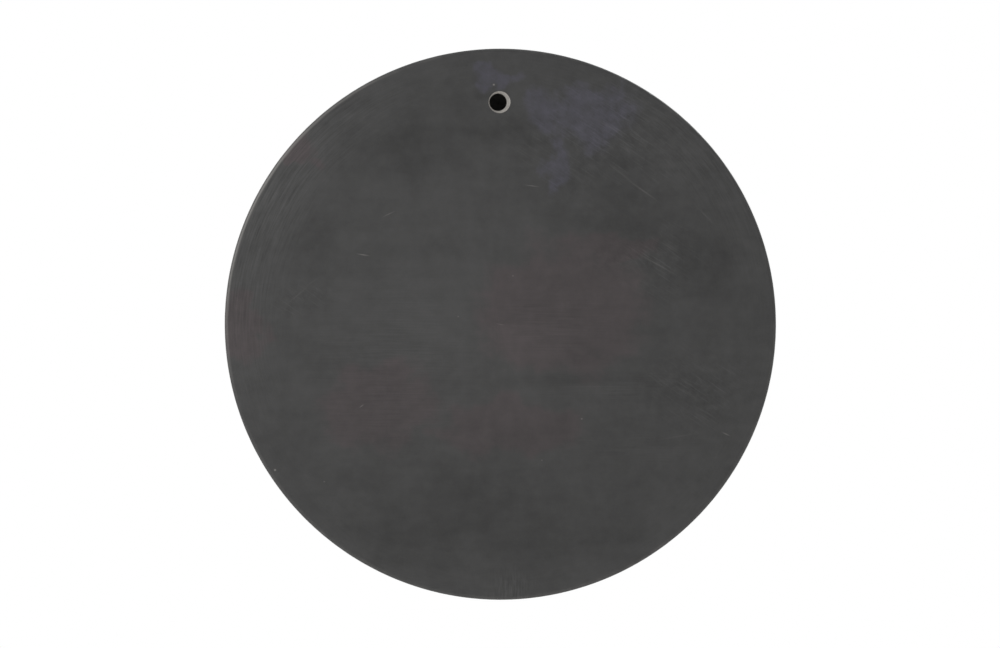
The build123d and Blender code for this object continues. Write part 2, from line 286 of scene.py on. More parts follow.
def hair_scratches(tree, flat):
    """Short hairline scratches, at most one to each cell of the spacing, lying all ways."""
    cells = add(tree, "ShaderNodeTexVoronoi", {"Vector": flat, "Scale": 1 / HAIR_SPACING}).outputs
    picked = add(tree, "ShaderNodeSeparateColor", {0: cells["Color"]}).outputs
    seen = add(tree, "ShaderNodeMath", {0: picked["Red"], 1: 1 - HAIRS_SEEN}, operation="GREATER_THAN")
    spin = weighted_sum(tree, 0.0, [(picked["Green"], math.pi)])
    place = add(tree, "ShaderNodeVectorMath", {0: flat, "Scale": 1 / HAIR_SPACING}, operation="SCALE")
    local = add(tree, "ShaderNodeVectorMath", {0: place, 1: cells["Position"]}, operation="SUBTRACT")
    spun = add(tree, "ShaderNodeVectorRotate", {"Vector": local, "Angle": spin}, rotation_type="Y_AXIS")
    thin = add(tree, "ShaderNodeMapping", {"Vector": spun, "Scale": HAIR_SIZE}, vector_type="TEXTURE")
    hair = add(tree, "ShaderNodeTexGradient", {"Vector": thin}, gradient_type="SPHERICAL")
    return weighted_sum(tree, 0.0, [(hair.outputs["Fac"], seen)])


def pale_marks(tree, place):
    """The single scratches and bruises, which show the stone's pale powder."""
    marks = []
    for centre, half, turn, strength in PALE_MARKS:
        mark = soft_patch(tree, place, BACK, centre, half, turn)
        marks.append(weighted_sum(tree, 0.0, [(mark, strength)]))
    return add(tree, "ShaderNodeMapRange", {0: largest(tree, marks), 1: 0.0, 2: 1.6, 4: 0.6}, **EASED)


def honed_slate_material():
    """The finish of the whole dial, back, rim and face."""
    material = new_material("honed_slate")
    tree = material.node_tree
    place = add(tree, "ShaderNodeTexCoord").outputs["Object"]
    parts = add(tree, "ShaderNodeSeparateXYZ", {0: place}).outputs
    flat = add(tree, "ShaderNodeCombineXYZ", {"X": parts["X"], "Z": parts["Z"]})
    radius = add(tree, "ShaderNodeVectorMath", {0: flat}, operation="LENGTH")
    spoke = add(tree, "ShaderNodeVectorMath", {0: flat}, operation="NORMALIZE")
    on_face = add(tree, "ShaderNodeMapRange", {0: parts["Y"], 1: FACE + 3 * MM, 2: FACE + 1 * MM}, **EASED)
    on_edge = add(tree, "ShaderNodeMapRange", {0: radius, 1: RADIUS - 1.2 * MM, 2: RADIUS - 0.4 * MM},
                  **EASED)
    wide_clouds = clouds(tree, place, 26 * MM, 6.0, 0.6)
    small_clouds = clouds(tree, place, 6 * MM, 5.0, 0.62)
    grain = clouds(tree, place, 0.9 * MM, 3.0)
    wander = add(tree, "ShaderNodeTexNoise", {"Vector": place, "Scale": 1 / (22 * MM), "Detail": 3.0})
    halfway = add(tree, "ShaderNodeVectorMath", {0: wander.outputs["Color"], 1: (0.5, 0.5, 0.5)},
                  operation="SUBTRACT")
    ragged = add(tree, "ShaderNodeVectorMath", {0: halfway, 1: (40 * MM, 0, 40 * MM), 2: place},
                 operation="MULTIPLY_ADD")

    # Strokes round the rim: a grain that is long round the dial and 0.9 mm wide across it
    across = add(tree, "ShaderNodeMath", {0: radius, 1: parts["Y"]}, operation="ADD")
    fine = weighted_sum(tree, 0.0, [(across, 1 / (0.9 * MM))])
    lift = add(tree, "ShaderNodeCombineXYZ", {"Y": fine})
    round_grain = add(tree, "ShaderNodeVectorMath", {0: spoke, 1: (9, 9, 9), 2: lift},
                      operation="MULTIPLY_ADD")
    round_strokes = clouds(tree, round_grain, 1.0, 3.0, 0.6)
    near_rim = add(tree, "ShaderNodeMapRange", {0: radius, 1: RADIUS - 40 * MM, 2: RADIUS - 4 * MM}, **EASED)
    rubbed_and_highlit_side = soft_patch(tree, place, BACK, (110, 60), (90, 110))
    rubbed_quarter = soft_patch(tree, place, BACK, (-100, 90), (90, 80))
    rubbed = weighted_sum(tree, 0.14, [(rubbed_and_highlit_side, 1.3), (rubbed_quarter, 0.5)])
    rim_rub = weighted_sum(tree, 0.0, [(rubbed, near_rim)])
    round_rub = weighted_sum(tree, 0.0, [(round_strokes, rim_rub)])

    # Level rubs and slanting scuffs, each kept to its own part of the back
    drifts = strokes(tree, place, 0, 38, 9)
    level = strokes(tree, place, 1, 26, 0.8)
    slants = strokes(tree, place, 34, 16, 0.8)
    slanted = add(tree, "ShaderNodeMapRange", {0: slants, 1: 0.0, 2: 0.55}, **EASED)
    crosses = strokes(tree, place, 58, 9, 0.8)
    crossing = add(tree, "ShaderNodeMapRange", {0: crosses, 1: 0.1, 2: 0.6}, **EASED)
    level_rub = weighted_sum(tree, 0.0, [(level, patches(tree, ragged, LEVEL_RUBS))])
    slant_area = patches(tree, ragged, DIAGONAL_SCUFFS)
    slant_mix = weighted_sum(tree, -0.10, [(slanted, 0.80), (crossing, 0.45), (small_clouds, 0.40)])
    slant_rub = weighted_sum(tree, 0.0, [(slant_mix, slant_area)])
    foot_area = soft_patch(tree, place, BACK, (-4, -146), (16, 17))
    foot_rub = weighted_sum(tree, 0.0, [(strokes(tree, place, 90, 9, 0.8), foot_area)])
    dark_band = soft_patch(tree, place, BACK, *DARK_BAND)
    smudges = largest(tree, [dark_band, patches(tree, ragged, DARK_SMUDGES)])
    rubbed_middle = soft_patch(tree, ragged, BACK, (28, 6), (120, 96))

    # Rain leaves faint runs down the dial face, most of all below the gnomon's sole
    below_sole = soft_patch(tree, place, FACE, (0, -66), (15, 44))
    rain = weighted_sum(tree, 0.10, [(below_sole, 0.5)])
    face_rain = weighted_sum(tree, 0.0, [(rain, on_face)])
    rain_runs = weighted_sum(tree, 0.0, [(strokes(tree, place, 90, 45, 2.2), face_rain)])
    face_clouds = weighted_sum(tree, 0.0, [(small_clouds, on_face)])

    tone = weighted_sum(tree, 0.34, [
        (wide_clouds, 0.32), (small_clouds, 0.24), (drifts, 0.18), (round_rub, 0.80), (level_rub, 0.42),
        (slant_rub, 0.95), (slant_area, 0.04), (foot_rub, 1.2), (smudges, -0.24), (rim_rub, 0.22),
        (rubbed_middle, 0.26), (rain_runs, 1.6), (on_edge, 0.10), (grain, 0.08), (face_clouds, 0.16),
        (on_face, 0.06)])
    stone = add(tree, "ShaderNodeMix", {"Factor": tone, "A": linear("#222222"), "B": linear("#434343")},
                data_type="RGBA", clamp_factor=True)

    # Brown stains and a violet bloom, with ragged edges
    stains = patches(tree, ragged, BROWN_STAINS)
    stain_edge = weighted_sum(tree, -0.12, [(stains, 1.7), (small_clouds, 0.35), (wide_clouds, 0.3)])
    stain = add(tree, "ShaderNodeMapRange", {0: stain_edge, 1: 0.0, 2: 0.5, 4: 0.75}, **EASED)
    browned = add(tree, "ShaderNodeMix", {"Factor": stain, "A": stone, "B": (1.22, 0.95, 1.0, 1)},
                  data_type="RGBA", blend_type="MULTIPLY")
    blooms = patches(tree, ragged, VIOLET_BLOOMS)
    bloom_edge = weighted_sum(tree, -0.10, [(blooms, 1.7), (small_clouds, 0.5)])
    bloom = add(tree, "ShaderNodeMapRange", {0: bloom_edge, 1: 0.0, 2: 0.9}, **EASED)
    bloom_veil = weighted_sum(tree, 0.13, [(small_clouds, 0.16), (slanted, 0.08), (crossing, 0.06)])
    veil = add(tree, "ShaderNodeMath", {0: bloom, 1: bloom_veil}, operation="MULTIPLY", use_clamp=True)
    bloomed = add(tree, "ShaderNodeMix", {"Factor": veil, "A": browned, "B": linear("#595672")},
                  data_type="RGBA")

    # Scratches, and an arris worn pale, most of all on the side that was rubbed. That side faces the back
    # key, so its pale arris is partly wear and partly a painted highlight.
    scratched = weighted_sum(tree, 0.0, [(pale_marks(tree, place), 1.0),
                                         (hair_scratches(tree, flat), 0.22)])
    marked = add(tree, "ShaderNodeMix", {"Factor": scratched, "A": bloomed, "B": linear("#8d8a86")},
                 data_type="RGBA", clamp_factor=True)
    arris = add(tree, "ShaderNodeMapRange", {0: radius, 1: RADIUS - 2.6 * MM, 2: RADIUS - 1.0 * MM}, **EASED)
    arris_wear_and_highlight = weighted_sum(tree, 0.02, [(rubbed_and_highlit_side, 1.2), (round_strokes, 0.35),
                                           (small_clouds, 0.2)])
    arris_highlight_and_wear_band = weighted_sum(tree, 0.0, [(arris, arris_wear_and_highlight)])
    edge_band = add(tree, "ShaderNodeMapRange", {0: on_edge, 3: 1.0, 4: 0.35}, **EASED)
    wear = add(tree, "ShaderNodeMath", {0: arris_highlight_and_wear_band, 1: edge_band}, operation="MULTIPLY",
               use_clamp=True)
    # The pale arris colour is partly wear and partly a painted highlight on the side the back key lights.
    worn = add(tree, "ShaderNodeMix", {"Factor": wear, "A": marked, "B": linear("#615f5c")},
               data_type="RGBA")

    gloss = weighted_sum(tree, 0.50, [
        (small_clouds, 0.05), (drifts, 0.04), (slant_rub, 0.16), (level_rub, -0.10), (bloom, 0.06),
        (scratched, 0.2), (rain_runs, 0.3), (on_edge, 0.08)])
    height = weighted_sum(tree, 0.0, [
        (wide_clouds, 0.05), (strokes(tree, place, 20, 9, 0.6), 0.004), (grain, 0.006),
        (round_strokes, 0.004), (slant_rub, 0.008), (scratched, -0.03)])
    surface(tree, height, 1 * MM, {"Base Color": worn, "Roughness": gloss, "IOR": 1.5})
    return material


def bared_stone(name, dark, light, grain, roughness, depth):
    """Slate bared by a tool: two tones in a grain of this size, with a bump as deep as given."""
    material = new_material(name)
    tree = material.node_tree
    place = add(tree, "ShaderNodeTexCoord").outputs["Object"]
    coarse = clouds(tree, place, 5 * MM)
    grains = add(tree, "ShaderNodeTexNoise", {"Vector": place, "Scale": 1 / grain, "Detail": 6.0})
    share = weighted_sum(tree, 0.0, [(grains, 1.0), (coarse, 0.3)])
    tone = add(tree, "ShaderNodeMix", {"Factor": share, "A": linear(dark), "B": linear(light)},
               data_type="RGBA", clamp_factor=True)
    surface(tree, grains, depth, {"Base Color": tone, "Roughness": roughness})
    return material


# Slate cut with a chisel or a countersink: the bruised stone is a pale matt grey. The drilled
# hole's walls are coloured near black: painted shade for the darkness deep in the hole, where the
# bared stone would really be pale too.
honed_slate = honed_slate_material()
cut_slate = bared_stone("cut_slate", "#6f6d6b", "#a8a49e", 0.6 * MM, 0.85, 0.05 * MM)
bore_slate_painted_shade = bared_stone("bore_slate_painted_shade", "#181817", "#2a2826", 0.5 * MM, 0.9, 0.05 * MM)


def new_object(name, data):
    """A new object in the scene, at the origin."""
    made = bpy.data.objects.new(name, data)
    bpy.context.scene.collection.objects.link(made)
    return made


dial = new_object("slate_dial", slate_blank())
dial.data.materials.append(honed_slate)


def closed_mesh(name, rings, material):
    """A closed shell through rings of points, with a flat cap at each end."""
    count = len(rings[0])
    vertices = [point for ring in rings for point in ring]
    faces = [tuple(range(count)), tuple(range(len(vertices) - 1, len(vertices) - 1 - count, -1))]
    for start in range(0, len(vertices) - count, count):
        for side in range(count):
            after = (side + 1) % count
            faces.append((start + side, start + count + side, start + count + after, start + after))
    mesh = outward_mesh(name, vertices, faces)
    mesh.materials.append(material)
    return new_object(name, mesh)


def settle(piece):
    """Turns a piece's modifiers into plain mesh."""
    bpy.context.view_layer.update()
    made = bpy.data.meshes.new_from_object(piece.evaluated_get(bpy.context.evaluated_depsgraph_get()))
    piece.modifiers.clear()
    piece.data = made


def take_away(target, cutter):
    """Cuts one piece out of another and throws the cutter away. The cut keeps the cutter's finish."""
    cut = target.modifiers.new("cut", "BOOLEAN")
    cut.operation = "DIFFERENCE"
    cut.solver = "EXACT"
    cut.material_mode = "TRANSFER"
    cut.object = cutter
    settle(target)
    bpy.data.objects.remove(cutter)


# -------------------- Hanging hole
# The dial hangs on a peg by one blind hole, drilled in the back with a 9.5 mm masonry drill. Its
# mouth was opened by hand with a countersink that ran a little off centre, so the pale ring of
# fresh stone round it is wider on one side. Its inside is coloured near black, as painted shade for
# the depth of the hole.

hanging_hole = next(m for m in frame["record"]["mounts"] if m["name"] == "hanging_hole")
HOLE_RADIUS = hanging_hole["dims"]["r_mm"] * MM
HOLE_HEIGHT = hanging_hole["pos_m"][2]
HOLE_DEPTH = 10.0 * MM
DRILL_ANGLE = 118
DRILL_POINT = HOLE_RADIUS / math.tan(math.radians(DRILL_ANGLE / 2))
MOUTH_RADIUS = 5.95 * MM
MOUTH_OFFSET = -0.8 * MM
MOUTH_DEPTH = 2.0 * MM
BORE_STEPS = 10
OVER = 0.5 * MM


def turned_cutter(profile, centre_x, rough, material):
    """A cutter turned about Y through (radius, y) points, its wall as rough as the tool left it."""
    rings = []
    for radius, y in profile:
        ring = []
        for step in range(96):
            angle = math.tau * step / 96
            around = Vector((math.cos(angle), math.sin(angle), y / (6 * MM)))
            worn = radius + rough * noise.noise(around * 3.0)
            ring.append((centre_x + worn * math.cos(angle), y, HOLE_HEIGHT + worn * math.sin(angle)))
        rings.append(ring)
    return closed_mesh("turned_cutter", rings, material)


bore = [(HOLE_RADIUS, BACK + 2 * OVER - HOLE_DEPTH * step / BORE_STEPS) for step in range(BORE_STEPS + 1)]
bore += [(HOLE_RADIUS, BACK - HOLE_DEPTH), (0.05 * MM, BACK - HOLE_DEPTH - DRILL_POINT)]
mouth = [(MOUTH_RADIUS + OVER, BACK + OVER), (MOUTH_RADIUS, BACK)]
mouth += [(MOUTH_RADIUS - MOUTH_DEPTH, BACK - MOUTH_DEPTH)]
# The bore's walls get the near-black painted shade; the countersunk mouth gets pale cut stone.
take_away(dial, turned_cutter(bore, 0.0, 0.03 * MM, bore_slate_painted_shade))
take_away(dial, turned_cutter(mouth, MOUTH_OFFSET, 0.12 * MM, cut_slate))

# -------------------- Chisel work
# The hour lines, track and borders are V-cuts, struck with a chisel at 45 degrees a side, and the
# sun's rays are tapering flutes. Fresh-cut slate is much paler than the honed face. All the hour
# lines run to the root of the gnomon, at the angles of a dial for latitude 51.5 degrees.

LATITUDE = 51.5
ROOT_HEIGHT = 45.0 * MM
LINE_WIDTH = 1.6 * MM
TICK_WIDTH = 1.1 * MM
CHISEL_WAVER = 0.07 * MM
WAVER_LENGTH = 9 * MM
TRACK_INNER = 98.0 * MM
TRACK_OUTER = 106.0 * MM
BORDERS = (142.0 * MM, 145.0 * MM)
BAND_END = 118.0
HAND_RUN_OUT = 0.02
HOUR_LINE_START = 27.0 * MM
HALF_LINE_START = 84.0 * MM


def new_tree(name, outputs, **inputs):
    """An empty tree of Geometry Nodes, with its named outputs and inputs listed by their kind."""
    tree = bpy.data.node_groups.new(name, "GeometryNodeTree")
    for side, kinds in (("OUTPUT", outputs), ("INPUT", inputs)):
        for kind, labels in kinds.items():
            for label in labels:
                tree.interface.new_socket(label, in_out=side, socket_type="NodeSocket" + kind)
    return tree


def hour_line_tree():
    """From an hour angle: its line's angle from noon, and how far along it a circle lies."""
    tree = new_tree("hour_line", {"Float": ["Line angle", "Distance"]},
                    Float=["Hour angle", "Latitude", "Root height", "Radius"])
    given = add(tree, "NodeGroupInput").outputs
    hour = add(tree, "ShaderNodeMath", {0: given["Hour angle"]}, operation="RADIANS")
    steep = add(tree, "ShaderNodeMath", {0: hour}, operation="TANGENT")
    latitude = add(tree, "ShaderNodeMath", {0: given["Latitude"]}, operation="RADIANS")
    flatten = add(tree, "ShaderNodeMath", {0: latitude}, operation="COSINE")
    slope = add(tree, "ShaderNodeMath", {0: steep, 1: flatten}, operation="MULTIPLY")
    angle = add(tree, "ShaderNodeMath", {0: slope}, operation="ARCTANGENT")
    down = add(tree, "ShaderNodeMath", {0: angle}, operation="COSINE")
    aside = add(tree, "ShaderNodeMath", {0: angle}, operation="SINE")
    near = add(tree, "ShaderNodeMath", {0: down, 1: given["Root height"]}, operation="MULTIPLY")
    off = add(tree, "ShaderNodeMath", {0: aside, 1: given["Root height"]}, operation="MULTIPLY")
    off_square = add(tree, "ShaderNodeMath", {0: off, 1: off}, operation="MULTIPLY")
    square = add(tree, "ShaderNodeMath", {0: given["Radius"], 1: given["Radius"]}, operation="MULTIPLY")
    rest = add(tree, "ShaderNodeMath", {0: square, 1: off_square}, operation="SUBTRACT")
    far = add(tree, "ShaderNodeMath", {0: rest}, operation="SQRT")
    reach = add(tree, "ShaderNodeMath", {0: near, 1: far}, operation="ADD")
    add(tree, "NodeGroupOutput", {"Line angle": angle, "Distance": reach})
    return tree


hour_line = hour_line_tree()


def lay_pieces(tree, points, turn, size=(1, 1, 1), offset=(0, 0, 0)):
    """Ends a tree: its piece on every point, turned in the plane of the face, as real mesh."""
    given = add(tree, "NodeGroupInput").outputs
    piece = add(tree, "GeometryNodeObjectInfo", {"Object": given["Piece"]})
    turned = add(tree, "ShaderNodeCombineXYZ", {"Y": turn})
    copies = add(tree, "GeometryNodeInstanceOnPoints", {
        "Points": points, "Instance": piece.outputs["Geometry"], "Rotation": turned, "Scale": size})
    real = add(tree, "GeometryNodeRealizeInstances", {"Geometry": copies})
    moved = add(tree, "GeometryNodeSetPosition", {"Geometry": real, "Offset": offset})
    finish = add(tree, "GeometryNodeSetMaterial", {"Geometry": moved, "Material": given["Material"]})
    add(tree, "NodeGroupOutput", {"Geometry": finish})


def repeated_on_hours(name, stretched):
    """A tree that repeats a piece on the hour lines: whole on a circle, or stretched along them."""
    tree = new_tree(name, {"Geometry": ["Geometry"]}, Object=["Piece"], Int=["Count"],
                    Material=["Material"],
                    Float=["First hour", "Hour step", "Inner radius", "Outer radius", "Root start",
                           "Width", "Latitude", "Root height", "Face", "Waver"])
    given = add(tree, "NodeGroupInput").outputs
    points = add(tree, "GeometryNodeMeshLine", {"Count": given["Count"], "Offset": (0, 0, 0)})
    index = add(tree, "GeometryNodeInputIndex")
    hour = weighted_sum(tree, given["First hour"], [(index, given["Hour step"])])
    rule = {"Hour angle": hour, "Latitude": given["Latitude"], "Root height": given["Root height"]}
    inner = add(tree, "GeometryNodeGroup", {**rule, "Radius": given["Inner radius"]}, node_tree=hour_line)
    outer = add(tree, "GeometryNodeGroup", {**rule, "Radius": given["Outer radius"]}, node_tree=hour_line)
    from_root = add(tree, "ShaderNodeMath", {0: given["Root start"], 1: 0.0}, operation="GREATER_THAN")
    start = add(tree, "GeometryNodeSwitch", {"Switch": from_root, "False": inner.outputs["Distance"],
                                            "True": given["Root start"]}, input_type="FLOAT")
    angle = inner.outputs["Line angle"]
    aside = add(tree, "ShaderNodeMath", {0: angle}, operation="SINE")
    down = add(tree, "ShaderNodeMath", {0: angle}, operation="COSINE")
    x = add(tree, "ShaderNodeMath", {0: aside, 1: start}, operation="MULTIPLY")
    drop = add(tree, "ShaderNodeMath", {0: down, 1: start}, operation="MULTIPLY")
    z = add(tree, "ShaderNodeMath", {0: given["Root height"], 1: drop}, operation="SUBTRACT")
    place = add(tree, "ShaderNodeCombineXYZ", {"X": x, "Y": given["Face"], "Z": z})
    placed = add(tree, "GeometryNodeSetPosition", {"Geometry": points, "Position": place})
    turn = add(tree, "ShaderNodeMath", {0: angle, 1: -1.0}, operation="MULTIPLY")
    length = add(tree, "ShaderNodeMath", {0: outer.outputs["Distance"], 1: start}, operation="SUBTRACT")
    width = given["Width"]
    size = add(tree, "ShaderNodeCombineXYZ", {"X": width, "Y": width, "Z": length if stretched else width})
    shake = add(tree, "ShaderNodeTexNoise", {"Scale": 1 / WAVER_LENGTH, "Detail": 2.0})
    centred = add(tree, "ShaderNodeVectorMath", {0: shake.outputs["Color"], 1: (0.5, 0.5, 0.5)},
                  operation="SUBTRACT")
    offset = add(tree, "ShaderNodeVectorMath", {0: centred, "Scale": given["Waver"]}, operation="SCALE")
    lay_pieces(tree, placed, turn, size, offset)
    return tree


def grown(name, tree, values, points=None):
    """Runs a tree, on points or on nothing, and keeps the result as a plain mesh."""
    piece = new_object(name, points or bpy.data.meshes.new(name))
    modifier = piece.modifiers.new(name, "NODES")
    modifier.node_group = tree
    for item in tree.interface.items_tree:
        if item.in_out == "INPUT" and item.name in values:
            modifier[item.identifier] = values[item.name]
    settle(piece)
    piece.data.name = name
    return piece


def chisel_wedge():
    """A V one unit wide and one long, down from the origin, that runs out at its upper end."""
    over = 0.25
    rings = []
    for step in range(31):
        down = HAND_RUN_OUT * step if step < 2 else HAND_RUN_OUT + (1 - HAND_RUN_OUT) * (step - 1) / 29
        deep = -0.05 if step == 0 else 0.5
        rings.append([(-0.5 - over, -over, -down), (0.5 + over, -over, -down), (0, deep, -down)])
    return closed_mesh("chisel_wedge", rings, cut_slate)


def ring_cut(radius, number):
    """A V-cut round the dial, open at the top."""
    rings = []
    half = LINE_WIDTH / 2
    over = 0.4 * MM
    count = 472
    for step in range(count + 1):
        band = math.radians(-BAND_END + 2 * BAND_END * step / count)
        out = Vector((math.sin(band), 0, -math.cos(band)))
        shake = CHISEL_WAVER * noise.noise(out * radius / WAVER_LENGTH + Vector((0, number, 0)))
        deep = CHISEL_WAVER * noise.noise(out * radius / WAVER_LENGTH + Vector((5, number, 0)))
        middle = out * (radius + shake)
        rings.append([
            middle + out * -(half + over) + Vector((0, FACE - over, 0)),
            middle + out * (half + over) + Vector((0, FACE - over, 0)),
            middle + Vector((0, FACE + half + deep, 0)),
        ])
    return closed_mesh("ring_cut", rings, cut_slate)


along_hours = repeated_on_hours("cuts_along_hour_lines", True)
wedge = chisel_wedge()
whole_lines = {
    "Piece": wedge, "Latitude": LATITUDE, "Root height": ROOT_HEIGHT, "Face": FACE,
    "Waver": 2 * CHISEL_WAVER, "Material": cut_slate, "Outer radius": TRACK_OUTER,
}
chisel_jobs = [
    ("morning_lines", 6, -90.0, 15.0, 0.0, HOUR_LINE_START, LINE_WIDTH),
    ("evening_lines", 6, 15.0, 15.0, 0.0, HOUR_LINE_START, LINE_WIDTH),
    ("half_lines", 12, -82.5, 15.0, HALF_LINE_START, 0.0, TICK_WIDTH),
    ("quarter_ticks", 24, -86.25, 7.5, TRACK_INNER, 0.0, TICK_WIDTH),
]
for number, radius in enumerate((TRACK_INNER, TRACK_OUTER, *BORDERS)):
    take_away(dial, ring_cut(radius, number))
for name, count, first, step, inner, root_start, width in chisel_jobs:
    take_away(dial, grown(name, along_hours, {
        **whole_lines, "Count": count, "First hour": first, "Hour step": step,
        "Inner radius": inner, "Root start": root_start, "Width": width}))


def straight_cut(start, end):
    """A single V-cut between two points of the face."""
    cut = new_object("straight_cut", wedge.data.copy())
    run = Vector((end[0] - start[0], 0, end[1] - start[1]))
    turn = Matrix.Rotation(math.atan2(-run.x, -run.z), 4, "Y")
    size = Matrix.Diagonal((LINE_WIDTH, LINE_WIDTH, run.length, 1))
    cut.data.transform(Matrix.Translation((start[0], FACE, start[1])) @ turn @ size)
    return cut


NOON_GAP = 4.0 * MM
NOON_TOP = -43.0 * MM
for side in (-1, 1):
    band = math.radians(side * BAND_END)
    out = Vector((math.sin(band), -math.cos(band)))
    take_away(dial, straight_cut(out * TRACK_INNER, out * BORDERS[1]))
    x = side * NOON_GAP / 2
    take_away(dial, straight_cut((x, NOON_TOP), (x, -TRACK_OUTER)))
bpy.data.objects.remove(wedge)

RAY_COUNT = 11
RAY_STEP = 15.0
RAY_START = 30.0 * MM
LONG_RAY = 38.0 * MM
SHORT_RAY = 22.0 * MM
RAY_WIDTH = 2.8 * MM


def flute_spindle():
    """A spindle one unit long and one wide, along X, blunt at first and then tapering."""
    rings = []
    for step in range(25):
        along = (step / 24) ** 1.6
        wide = max(0.5 * math.sin(math.pi * along**0.5) ** 0.9, 0.004)
        rings.append([(along, wide * math.cos(math.tau * side / 20), wide * math.sin(math.tau * side / 20))
                      for side in range(20)])
    return closed_mesh("flute_spindle", rings, cut_slate)


def rays_tree():
    """The sun's rays: flutes fanned about the root, long and short by turns."""
    tree = new_tree("sun_rays", {"Geometry": ["Geometry"]}, Object=["Piece"], Int=["Count"],
                    Material=["Material"],
                    Float=["Step", "Start", "Long", "Short", "Width", "Root height", "Face"])
    given = add(tree, "NodeGroupInput").outputs
    points = add(tree, "GeometryNodeMeshLine", {"Count": given["Count"], "Offset": (0, 0, 0)})
    index = add(tree, "GeometryNodeInputIndex")
    number = add(tree, "ShaderNodeMath", {0: index, 1: 1.0}, operation="ADD")
    fan = add(tree, "ShaderNodeMath", {0: number, 1: given["Step"]}, operation="MULTIPLY")
    angle = add(tree, "ShaderNodeMath", {0: fan}, operation="RADIANS")
    across = add(tree, "ShaderNodeMath", {0: angle}, operation="COSINE")
    up = add(tree, "ShaderNodeMath", {0: angle}, operation="SINE")
    x = add(tree, "ShaderNodeMath", {0: across, 1: given["Start"]}, operation="MULTIPLY")
    z = weighted_sum(tree, given["Root height"], [(up, given["Start"])])
    place = add(tree, "ShaderNodeCombineXYZ", {"X": x, "Y": given["Face"], "Z": z})
    placed = add(tree, "GeometryNodeSetPosition", {"Geometry": points, "Position": place})
    odd = add(tree, "ShaderNodeMath", {0: index, 1: 2.0}, operation="MODULO")
    length = add(tree, "GeometryNodeSwitch", {"Switch": odd, "False": given["Long"],
                                             "True": given["Short"]}, input_type="FLOAT")
    turn = add(tree, "ShaderNodeMath", {0: angle, 1: -1.0}, operation="MULTIPLY")
    size = add(tree, "ShaderNodeCombineXYZ", {"X": length, "Y": given["Width"], "Z": given["Width"]})
    lay_pieces(tree, placed, turn, size)
    return tree


spindle = flute_spindle()
take_away(dial, grown("sun_rays", rays_tree(), {
    "Piece": spindle, "Count": RAY_COUNT, "Step": RAY_STEP, "Start": RAY_START, "Long": LONG_RAY,
    "Short": SHORT_RAY, "Width": RAY_WIDTH, "Root height": ROOT_HEIGHT, "Face": FACE,
    "Material": cut_slate}))
bpy.data.objects.remove(spindle)

# -------------------- Pins, inserts and their holes
# Brass wire pins are soldered in the numerals and glued in the slate. Threaded brass sleeves take
# the gnomon's screws. Every fixing hole is drilled a little larger than its brass, for the glue.

PIN_HOLE = (0.85 * MM, 6.3 * MM)
STUD_HOLE = (0.85 * MM, 5.3 * MM)
INSERT_HOLE = (2.55 * MM, 8.3 * MM)


def middles(name):
    """The middle (x, z) of each separate solid of a CAD node."""
    work = bmesh.new()
    work.from_mesh(frame["nodes"][name].data)
    bmesh.ops.remove_doubles(work, verts=work.verts, dist=0.001 * MM)
    waiting = set(work.verts)
    places = []
    while waiting:
        solid = [waiting.pop()]
        for vertex in solid:
            for edge in vertex.link_edges:
                other = edge.other_vert(vertex)
                if other in waiting:
                    waiting.remove(other)
                    solid.append(other)
        across = [vertex.co.x for vertex in solid]
        up = [vertex.co.z for vertex in solid]
        places.append(((min(across) + max(across)) / 2, (min(up) + max(up)) / 2))
    work.free()
    return sorted(places, key=lambda place: (round(place[1], 5), place[0]))


def pieces_on_points_tree():
    """A piece on every point, turned in the plane of the face by the point's own "turn"."""
    tree = new_tree("pieces_on_points", {"Geometry": ["Geometry"]}, Geometry=["Places"],
                    Object=["Piece"], Material=["Material"])
    given = add(tree, "NodeGroupInput").outputs
    turn = add(tree, "GeometryNodeInputNamedAttribute", {"Name": "turn"}, data_type="FLOAT")
    lay_pieces(tree, given["Places"], turn)
    return tree


def points_on_face(places, turns):
    """A mesh of loose points on the dial face, each with its turn."""
    points = bpy.data.meshes.new("points_on_face")
    points.from_pydata([(x, FACE, z) for x, z in places], [], [])
    turn = points.attributes.new("turn", "FLOAT", "POINT")
    turn.data.foreach_set("value", turns)
    return points


def turned_rings(profile, sides):
    """Rings about Y through (radius, y) points."""
    rings = []
    for radius, y in profile:
        rings.append([(radius * math.cos(math.tau * side / sides), y,
                       radius * math.sin(math.tau * side / sides)) for side in range(sides)])
    return rings


on_points = pieces_on_points_tree()
for node_name, (hole_radius, hole_depth) in (("numeral_pins", PIN_HOLE), ("half_hour_studs", STUD_HOLE),
                                             ("screw_inserts", INSERT_HOLE)):
    drilled = turned_rings([(hole_radius, -OVER), (hole_radius, hole_depth)], 32)
    drill = closed_mesh("drill", drilled, cut_slate)
    places = middles(node_name)
    holes = grown("holes", on_points, {"Piece": drill, "Material": cut_slate},
                  points_on_face(places, [0.0] * len(places)))
    take_away(dial, holes)
    bpy.data.objects.remove(drill)

tidy = bmesh.new()
tidy.from_mesh(dial.data)
bmesh.ops.dissolve_degenerate(tidy, dist=0.002 * MM, edges=tidy.edges)
tidy.to_mesh(dial.data)
tidy.free()


def smooth(piece, sharp_angle):
    """Smooth shading, but for edges sharper than the angle."""
    piece.data.shade_smooth()
    piece.data.set_sharp_from_angle(angle=math.radians(sharp_angle))


smooth(dial, 30)
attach(dial, "root")
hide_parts("slate_disc")


